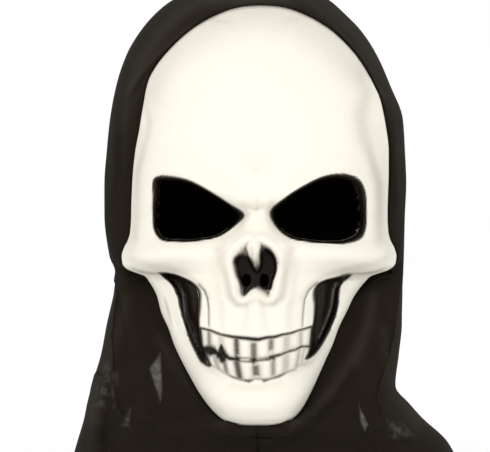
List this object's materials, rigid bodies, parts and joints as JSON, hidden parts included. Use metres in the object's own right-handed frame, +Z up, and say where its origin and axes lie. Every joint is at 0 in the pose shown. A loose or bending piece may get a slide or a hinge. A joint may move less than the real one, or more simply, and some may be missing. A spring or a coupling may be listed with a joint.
{
  "type": "skull mask with hood",
  "caption": "Moulded ivory skull face mask with open eye sockets, nostril holes and raised teeth, on a thin black cloth hood with an open neck.",
  "frame": {"origin": "inside of the hood's crown, where the top of the head carries it", "axes": "+Z up from the hem to the crown, -Y the way the face looks, +X to the right as seen from the front"},
  "size_m": [0.241, 0.2117, 0.3032],
  "materials": {
    "mask_plastic": "satin moulded plastic in warm ivory, with glossy black sprayed paint in the sockets, nose, cheeks and between the teeth",
    "hood_cloth": "thin matt black knitted cloth, slightly sheer where it is a single layer"
  },
  "bodies": {
    "root": {"mask_shell": "mask_plastic", "hood": "hood_cloth"}
  },
  "joints": []
}
